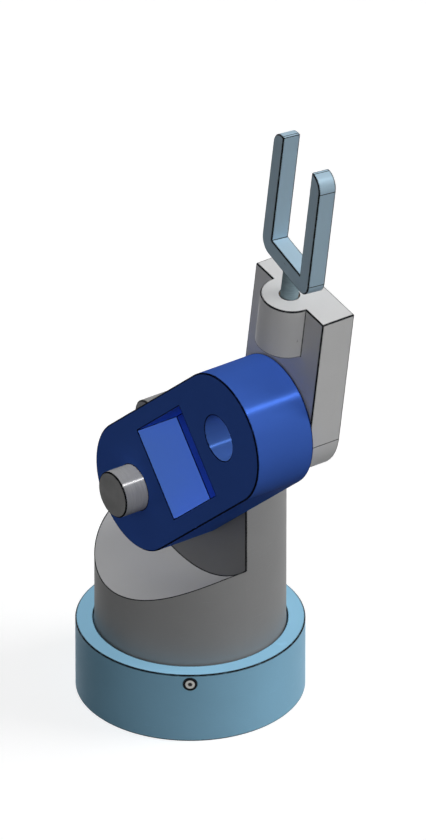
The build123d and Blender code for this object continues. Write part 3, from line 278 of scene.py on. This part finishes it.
# Ground steel: rings or lines left by the grinding wheel, with a slight stain
def groundSteel(name, settings):
    material, tree, shader = newMaterial(name)
    place = tree.add("ShaderNodeTexCoord").outputs["Object"]
    colour = settings["colour"]
    lines = tree.noise(tree.stretch(place, settings["along"]), settings["lineScale"], 3.0, 0.6)
    dark, light = [shade(colour, tone) for tone in grinding["lineTones"]]
    tone = tree.blend(tree.span(lines, *grinding["lineCut"]), dark, light)
    stain = tree.span(tree.noise(place, grinding["stainScale"], 4.0), *grinding["stainCut"])
    stain = tree.math("MULTIPLY", stain, grinding["stain"])
    tone = tree.blend(stain, tone, shade(colour, grinding["stainTone"]))
    edge = edgeMask(tree, settings["edgeWidth"])
    for marked in settings.get("darkened", []):
        edge = tree.math("MAXIMUM", edge, marked(tree, place))
    tone = tree.blend(edge, tone, settings["edgeColour"])
    tree.feed(shader.inputs["Base Color"], tone)
    rough = swing(tree, lines, grinding["lineCut"], settings["roughness"], grinding["roughnessSwing"])
    tree.feed(shader.inputs["Roughness"], rough)
    shader.inputs["Metallic"].default_value = settings["metallic"]
    shader.inputs["Specular IOR Level"].default_value = settings["specular"]
    tree.feed(shader.inputs["Normal"], tree.bump(lines, settings["bump"], grinding["bumpReach"]))
    return material


# Moulded plastic: a fine spark texture and a slight unevenness of colour
def mouldedPlastic(name, settings):
    material, tree, shader = newMaterial(name)
    place = tree.add("ShaderNodeTexCoord").outputs["Object"]
    colour = settings["colour"]
    spark = tree.noise(place, moulding["sparkScale"], 2.0)
    mottle = tree.noise(place, moulding["mottleScale"], 3.0)
    dark, light = [shade(colour, tone) for tone in moulding["mottleTones"]]
    tone = tree.blend(tree.span(mottle, *moulding["mottleCut"]), dark, light)
    # Patches of painted light and shade laid over the colour
    for patch in settings.get("paintedLightAndShade", []):
        tone = tree.blend(patch["where"](tree, place), tone, patch["colour"])
    edge = edgeMask(tree, settings["edgeWidth"])
    tone = tree.blend(edge, tone, settings["edgeColour"])
    tree.feed(shader.inputs["Base Color"], tone)
    rough = swing(tree, spark, moulding["sparkCut"], settings["roughness"], moulding["roughnessSwing"])
    tree.feed(shader.inputs["Roughness"], rough)
    shader.inputs["Specular IOR Level"].default_value = settings["specular"]
    tree.feed(shader.inputs["Normal"], tree.bump(spark, moulding["bump"], moulding["bumpReach"]))
    return material


def dress(names, material):
    for name in names:
        piece = nodes[name]
        piece.data.materials.clear()
        piece.data.materials.append(material)


blackEdge = linear(16, 18, 22)

# Base: light steel-blue satin paint
def baseRims(tree, place):
    return bevelFaces(tree, upwards)


basePaint = {
    "darkened": [baseRims],
    "colour": linear(150, 202, 231),
    "cloud": 0.03, "cloudScale": 30.0,
    "grainScale": 1800.0, "speck": 0.10, "grainDepth": 0.5, "bump": 0.25,
    "scratch": 0.25, "scratchScale": 22.0, "scratchAlong": (3.0, 3.0, 60.0),
    "roughness": 0.42, "metallic": 0.0, "specular": 0.04,
    "edgeWidth": 1.0 * mm, "edgeColour": blackEdge,
}
dress(["base_housing", "base_cover"], coatedMetal("basePaint", basePaint))
print("base painted")

# Turret: mid grey, bead blasted, with painted light on the saddle: a lighter grey that offsets the
# shade under the upper arm
saddleRadius = 75 * mm
saddleRise = 17.5 * mm  # from the shoulder up to the middle of the saddle's curve
saddleCentre = shoulderSpot + upwards * saddleRise


def wallChamfer(tree, place):
    depth = tree.dot(place, sideways)
    return both(tree, bevelFaces(tree, sideways), within(tree, depth, -2 * skin, chamferBand))


# Painted light: marks the saddle, which gets a lighter grey to offset the shade that falls on it
def saddlePaintedLight(tree, place):
    offset = tree.add("ShaderNodeVectorMath", operation="SUBTRACT")
    tree.feed(offset.inputs[0], tree.stretch(place, (1, 0, 1)))
    offset.inputs[1].default_value = saddleCentre
    radius = tree.add("ShaderNodeVectorMath", operation="LENGTH")
    tree.feed(radius.inputs[0], offset.outputs[0])
    hollow = tree.math("LESS_THAN", radius.outputs["Value"], saddleRadius + skin)
    return both(tree, hollow, tree.math("LESS_THAN", tree.dot(place, sideways), -skin))


turretGrey = {
    "darkened": [wallChamfer],
    # The saddle's lighter grey is painted light
    "paintedLightAndShade": [{"where": saddlePaintedLight, "colour": linear(169, 169, 169)}],
    "colour": linear(146, 146, 146),
    "cloud": 0.035, "cloudScale": 25.0,
    "grainScale": 2600.0, "speck": 0.16, "grainDepth": 0.9, "bump": 0.3,
    "scratch": 0.18, "scratchScale": 24.0, "scratchAlong": (3.0, 3.0, 60.0),
    "roughness": 0.5, "metallic": 0.15, "specular": 0.04,
    "edgeWidth": 1.0 * mm, "edgeColour": blackEdge,
}
dress(["turret_body", "turret_hub"], coatedMetal("turretGrey", turretGrey))
print("turret finished")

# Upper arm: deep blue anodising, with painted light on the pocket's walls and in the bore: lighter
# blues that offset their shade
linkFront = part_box("upper_arm_link")[0].y
pocketHalf = 25 * mm
pocketFloor = linkFront + 25 * mm
boreRadius = 12.5 * mm
linkHalf = 35 * mm


def linkRims(tree, place):
    return bevelFaces(tree, sideways)


def linkSeams(tree, place):
    # Fine lines where the round ends run into the straight sides
    along = reachOf(tree, place, shoulderSpot, linkLine)
    beside = size(tree, reachOf(tree, place, shoulderSpot, linkAcross))
    side = tree.math("GREATER_THAN", beside, linkHalf - 2 * seamHalf)
    start = within(tree, along, -seamHalf, seamHalf)
    end = within(tree, along, linkLength - seamHalf, linkLength + seamHalf)
    return both(tree, tree.math("MAXIMUM", start, end), side)


# Painted light: marks the pocket's walls, which get a lighter blue to offset their shade
def pocketPaintedLight(tree, place):
    along = size(tree, reachOf(tree, place, (shoulderSpot + elbowSpot) / 2, linkLine))
    beside = size(tree, reachOf(tree, place, shoulderSpot, linkAcross))
    square = tree.math("LESS_THAN", tree.math("MAXIMUM", along, beside), pocketHalf + skin)
    depth = tree.dot(place, sideways)
    return both(tree, square, within(tree, depth, linkFront + skin, pocketFloor - skin))


# Painted light: marks the inside of the elbow bore, which gets a lighter blue to offset its shade
def borePaintedLight(tree, place):
    along = reachOf(tree, place, elbowSpot, linkLine)
    beside = reachOf(tree, place, elbowSpot, linkAcross)
    radius = tree.math("SQRT", tree.math("ADD", both(tree, along, along), both(tree, beside, beside)))
    hollow = tree.math("LESS_THAN", radius, boreRadius + 5 * skin)
    depth = tree.dot(place, sideways)
    return both(tree, hollow, within(tree, depth, linkFront + skin, pocketFloor))


linkBlue = {
    "darkened": [linkRims, linkSeams],
    "paintedLightAndShade": [
        # Painted light: a lighter blue on the pocket's walls
        {"where": pocketPaintedLight, "colour": linear(90, 133, 222)},
        # Painted light: a lighter blue inside the elbow bore
        {"where": borePaintedLight, "colour": linear(76, 113, 188)},
    ],
    "colour": linear(66, 105, 198),
    "cloud": 0.03, "cloudScale": 22.0,
    "grainScale": 3000.0, "speck": 0.12, "grainDepth": 0.7, "bump": 0.22,
    "scratch": 0.2, "scratchScale": 20.0, "scratchAlong": (40.0, 4.0, 40.0),
    "roughness": 0.22, "metallic": 0.02, "specular": 0.0,
    "edgeWidth": 1.0 * mm, "edgeColour": linear(8, 10, 20),
}
dress(["upper_arm_link"], coatedMetal("linkBlue", linkBlue))
print("upper arm finished")

# Forearm: light grey, bead blasted
forearmTop = 80.8 * mm  # from the elbow, along the forearm
forearmHalf = 30 * mm
bossLow = 50.4 * mm  # the boss's lower end, from the elbow too
forearmBack = 19 * mm  # depth past which only the back chamfers lie


def forearmRims(tree, place):
    depth = tree.dot(place, sideways)
    along = reachOf(tree, place, elbowSpot, wristLine)
    bevels = bevelFaces(tree, sideways)
    front = both(tree, bevels, within(tree, depth, -skin, chamferBand))
    back = both(tree, bevels, tree.math("GREATER_THAN", depth, forearmBack))
    high = tree.math("GREATER_THAN", along, forearmTop - chamferBand)
    foot = within(tree, along, bossLow - 2 * skin, bossLow + chamferBand)
    low = both(tree, foot, tree.math("LESS_THAN", depth, 0))
    ends = both(tree, bevelFaces(tree, wristLine), tree.math("MAXIMUM", high, low))
    return tree.math("MAXIMUM", tree.math("MAXIMUM", front, back), ends)


def forearmSeam(tree, place):
    along = reachOf(tree, place, elbowSpot, wristLine)
    beside = size(tree, reachOf(tree, place, elbowSpot, wristAcross))
    side = tree.math("GREATER_THAN", beside, forearmHalf - 2 * seamHalf)
    return both(tree, within(tree, along, -seamHalf, seamHalf), side)


forearmGrey = {
    "darkened": [forearmRims, forearmSeam],
    "colour": linear(212, 212, 212),
    "cloud": 0.025, "cloudScale": 30.0,
    "grainScale": 2600.0, "speck": 0.12, "grainDepth": 0.9, "bump": 0.28,
    "scratch": 0.12, "scratchScale": 24.0, "scratchAlong": (50.0, 50.0, 4.0),
    "roughness": 0.5, "metallic": 0.1, "specular": 0.04,
    "edgeWidth": 1.0 * mm, "edgeColour": blackEdge,
}
dress(["forearm_housing", "forearm_lid"], coatedMetal("forearmGrey", forearmGrey))
print("forearm finished")

# Fork: pale steel-blue paint on square bar
forkRoll = math.radians(7.05)  # how far the fork is turned about the wrist's line at rest
forkFace = sideways * math.cos(forkRoll) + wristAcross * math.sin(forkRoll)
forkAcross = wristAcross * math.cos(forkRoll) - sideways * math.sin(forkRoll)
forkFoot = 96 * mm  # from the elbow, along the wrist's line
forkTop = 171.5 * mm
forkHalf = 24.85 * mm
forkCorner = 8 * mm


def forkRims(tree, place):
    return bevelFaces(tree, forkFace)


def forkSeams(tree, place):
    along = reachOf(tree, place, elbowSpot, wristLine)
    beside = size(tree, reachOf(tree, place, elbowSpot, forkAcross))
    low = within(tree, along, forkFoot + forkCorner - seamHalf, forkFoot + forkCorner + seamHalf)
    high = within(tree, along, forkTop - forkCorner - seamHalf, forkTop - forkCorner + seamHalf)
    outside = tree.math("GREATER_THAN", beside, forkHalf - 8 * skin)
    sides = both(tree, tree.math("MAXIMUM", low, high), outside)
    tip = within(tree, beside, forkHalf - forkCorner - seamHalf, forkHalf - forkCorner + seamHalf)
    top = tree.math("GREATER_THAN", along, forkTop - 8 * skin)
    return tree.math("MAXIMUM", sides, both(tree, tip, top))


forkPaint = {
    "darkened": [forkRims, forkSeams],
    "colour": linear(175, 202, 219),
    "cloud": 0.03, "cloudScale": 40.0,
    "grainScale": 2200.0, "speck": 0.10, "grainDepth": 0.5, "bump": 0.22,
    "scratch": 0.3, "scratchScale": 30.0, "scratchAlong": (50.0, 50.0, 4.0),
    "roughness": 0.4, "metallic": 0.05, "specular": 0.04,
    "edgeWidth": 0.9 * mm, "edgeColour": blackEdge,
}
dress(["fork"], coatedMetal("forkPaint", forkPaint))
print("fork painted")

# Shafts, pins and bearings: ground steel
def pinRims(tree, place):
    return bevelFaces(tree, sideways)


pinSteel = {
    "darkened": [pinRims],
    "colour": linear(182, 182, 182), "along": (4.0, 60.0, 4.0), "lineScale": 30.0,
    "roughness": 0.22, "metallic": 0.03, "specular": 0.0, "bump": 0.12,
    "edgeWidth": 0.9 * mm, "edgeColour": blackEdge,
}
dress(
    ["shoulder_shaft", "elbow_plug", "shoulder_drive_shaft", "waist_drive_shaft", "elbow_drive_shaft",
     "wrist_drive_shaft", "shoulder_key", "shoulder_spacer", "elbow_spacer"],
    groundSteel("pinSteel", pinSteel),
)
plainSteel = dict(pinSteel, darkened=[])
stemSteel = dict(
    plainSteel, colour=linear(143, 164, 173), along=(6.0, 6.0, 70.0), edgeWidth=0.4 * mm,
)
dress(["fork_stem"], groundSteel("stemSteel", stemSteel))
bearingSteel = dict(
    plainSteel, colour=linear(190, 190, 194), roughness=0.25, metallic=0.8, edgeWidth=0.2 * mm,
)
dress(
    ["waist_bearing_outer", "waist_bearing_inner", "waist_bearing_balls", "shoulder_bearing_outer",
     "shoulder_bearing_inner", "elbow_bearing_outer", "elbow_bearing_inner"],
    groundSteel("bearingSteel", bearingSteel),
)
springSteel = dict(
    plainSteel, colour=linear(98, 100, 108), roughness=0.4, metallic=0.7, edgeWidth=0.15 * mm,
)
dress(
    ["shoulder_clip", "elbow_clip", "stem_clip", "wrist_motor_strap"],
    groundSteel("springSteel", springSteel),
)
plateAluminium = dict(
    plainSteel, colour=linear(186, 188, 190), roughness=0.4, metallic=0.6, edgeWidth=0.2 * mm,
)
dress(
    ["shoulder_bearing_carrier", "shoulder_motor_plate"],
    groundSteel("plateAluminium", plateAluminium),
)
blackOxide = dict(
    plainSteel, colour=linear(34, 35, 38), roughness=0.45, metallic=0.4, edgeWidth=0.15 * mm,
)
dress(
    ["base_cover_screws", "board_screws", "waist_motor_screws", "turret_hub_screws",
     "shoulder_motor_screws", "link_set_screws", "forearm_lid_screws", "elbow_motor_screws",
     "wrist_strap_screws", "guide_inserts"],
    groundSteel("blackOxide", blackOxide),
)
bushBronze = dict(
    plainSteel, colour=linear(118, 96, 68), roughness=0.45, metallic=0.8, edgeWidth=0.2 * mm,
)
dress(["wrist_bush"], groundSteel("bushBronze", bushBronze))
nutBrass = dict(
    plainSteel, colour=linear(206, 184, 116), roughness=0.3, metallic=0.9, edgeWidth=0.2 * mm,
)
dress(["power_socket_nut"], groundSteel("nutBrass", nutBrass))
motorBlack = {
    "colour": linear(40, 40, 44),
    "cloud": 0.05, "cloudScale": 60.0,
    "grainScale": 2400.0, "speck": 0.2, "grainDepth": 0.8, "bump": 0.3,
    "scratch": 0.2, "scratchScale": 30.0, "scratchAlong": (20.0, 20.0, 20.0),
    "roughness": 0.5, "metallic": 0.1, "specular": 0.4,
    "edgeWidth": 0.3 * mm, "edgeColour": linear(90, 90, 92),
}
dress(
    ["waist_motor", "shoulder_motor", "elbow_motor", "wrist_motor"],
    coatedMetal("motorBlack", motorBlack),
)
print("steel and motors finished")

# Plastics
plugHeight = 34.7 * mm
plugAngles = [-35.3, 84.7, 204.7]  # degrees from the x axis
socketRadius = 1.45 * mm
socketFloor = 57 * mm  # from the base's centre line
socketRim = 60.25 * mm


def socketPaintedShade(tree, place):
    # Painted shade: the insides of the three hexagon sockets are darkened
    rise = tree.math("SUBTRACT", tree.dot(place, upwards), plugHeight)
    found = 0.0
    for angle in plugAngles:
        out = Vector((math.cos(math.radians(angle)), math.sin(math.radians(angle)), 0))
        beside = tree.dot(place, upwards.cross(out))
        radius = tree.math("SQRT", tree.math("ADD", both(tree, rise, rise), both(tree, beside, beside)))
        depth = within(tree, tree.dot(place, out), socketFloor, socketRim)
        inside = both(tree, tree.math("LESS_THAN", radius, socketRadius), depth)
        found = tree.math("MAXIMUM", found, inside)
    return found


plugAcetal = {
    # The dark socket insides are painted shade
    "paintedLightAndShade": [{"where": socketPaintedShade, "colour": linear(20, 20, 22)}],
    "colour": linear(250, 250, 246),
    "roughness": 0.4, "specular": 0.4,
    "edgeWidth": 0.12 * mm, "edgeColour": linear(150, 150, 148),
}
dress(["guide_plugs"], mouldedPlastic("plugAcetal", plugAcetal))
plainPlastic = dict(plugAcetal, paintedLightAndShade=[])
jackPlastic = dict(
    plainPlastic, colour=linear(26, 26, 28), roughness=0.3, edgeColour=linear(60, 60, 62),
)
dress(["power_socket"], mouldedPlastic("jackPlastic", jackPlastic))
boardMask = dict(
    plainPlastic, colour=linear(24, 92, 52), roughness=0.35, edgeColour=linear(120, 130, 90),
)
dress(["controller_board"], mouldedPlastic("boardMask", boardMask))
print("plastics finished")


# Floor: pale, seen as white by the camera and in reflections, with the arm's soft shadow on it
floorSettings = {
    "size": 6.0,
    "drop": 0.1 * mm,  # keeps it clear of the base's underside
    "colour": 0.86,
    "bounce": 0.10,  # colour that it throws back on the arm
    "glow": 0.35,
    "roughness": 0.9,
}


def buildFloor(settings):
    half = settings["size"] / 2
    mesh = bpy.data.meshes.new("floor")
    corners = [(-half, -half, 0), (half, -half, 0), (half, half, 0), (-half, half, 0)]
    mesh.from_pydata(corners, [], [(0, 1, 2, 3)])
    floor = bpy.data.objects.new("floor", mesh)
    bpy.context.scene.collection.objects.link(floor)
    floor.location.z = -settings["drop"]
    material, tree, shader = newMaterial("floorPaint")
    shader.inputs["Roughness"].default_value = settings["roughness"]
    shader.inputs["Specular IOR Level"].default_value = 0.0
    path = tree.add("ShaderNodeLightPath")
    seen = tree.math("MAXIMUM", path.outputs["Is Camera Ray"], path.outputs["Is Glossy Ray"])
    seen = tree.math("MAXIMUM", seen, path.outputs["Is Transmission Ray"])
    shown = tree.span(seen, 0.0, 1.0, settings["bounce"], settings["colour"])
    tree.feed(shader.inputs["Base Color"], shown)
    shader.inputs["Emission Color"].default_value = (1, 1, 1, 1)
    tree.feed(shader.inputs["Emission Strength"], tree.math("MULTIPLY", seen, settings["glow"]))
    mesh.materials.append(material)


buildFloor(floorSettings)


# Light: an even pale sky, a high light from the right and one from above and behind, both without
# shadows, a low one on the far right, a faint one on the front, and one that only draws the
# bright streaks
lightSettings = {
    "sky": 0.085,
    "suns": [
        {"name": "keySun", "towards": (0.70, 0.03, 0.71),
         "strength": 1.04, "spread": 20, "shadow": False, "glintOnly": False},
        {"name": "sideSun", "towards": (0.5, 0.75, 0.42),
         "strength": 1.17, "spread": 40, "shadow": True, "glintOnly": False},
        {"name": "topSun", "towards": (-0.4, 0.15, 0.9),
         "strength": 1.0, "spread": 20, "shadow": False, "glintOnly": False},
        {"name": "frontSun", "towards": (0.25, -0.93, 0.25),
         "strength": 0.2, "spread": 40, "shadow": True, "glintOnly": False},
        {"name": "glintSun", "towards": (0.416, 0.497, 0.762),
         "strength": 1.6, "spread": 2, "shadow": False, "glintOnly": True},
    ],
}


def buildLight(settings):
    world = bpy.data.worlds.new("sky")
    bpy.context.scene.world = world
    world.use_nodes = True
    tree = Tree(world)
    background = tree.nodes["Background"]
    path = tree.add("ShaderNodeLightPath")
    seen = tree.math("MAXIMUM", path.outputs["Is Camera Ray"], path.outputs["Is Glossy Ray"])
    seen = tree.math("MAXIMUM", seen, path.outputs["Is Transmission Ray"])
    background.inputs["Color"].default_value = (1, 1, 1, 1)
    tree.feed(background.inputs["Strength"], tree.span(seen, 0.0, 1.0, settings["sky"], 1.0))
    for sun in settings["suns"]:
        data = bpy.data.lights.new(sun["name"], "SUN")
        data.energy = sun["strength"]
        data.angle = math.radians(sun["spread"])
        data.use_shadow = sun["shadow"]
        lamp = bpy.data.objects.new(sun["name"], data)
        lamp.visible_diffuse = not sun["glintOnly"]
        lamp.rotation_mode = "QUATERNION"
        lamp.rotation_quaternion = Vector(sun["towards"]).to_track_quat("Z", "Y")
        bpy.context.scene.collection.objects.link(lamp)


buildLight(lightSettings)
print("floor and light built")
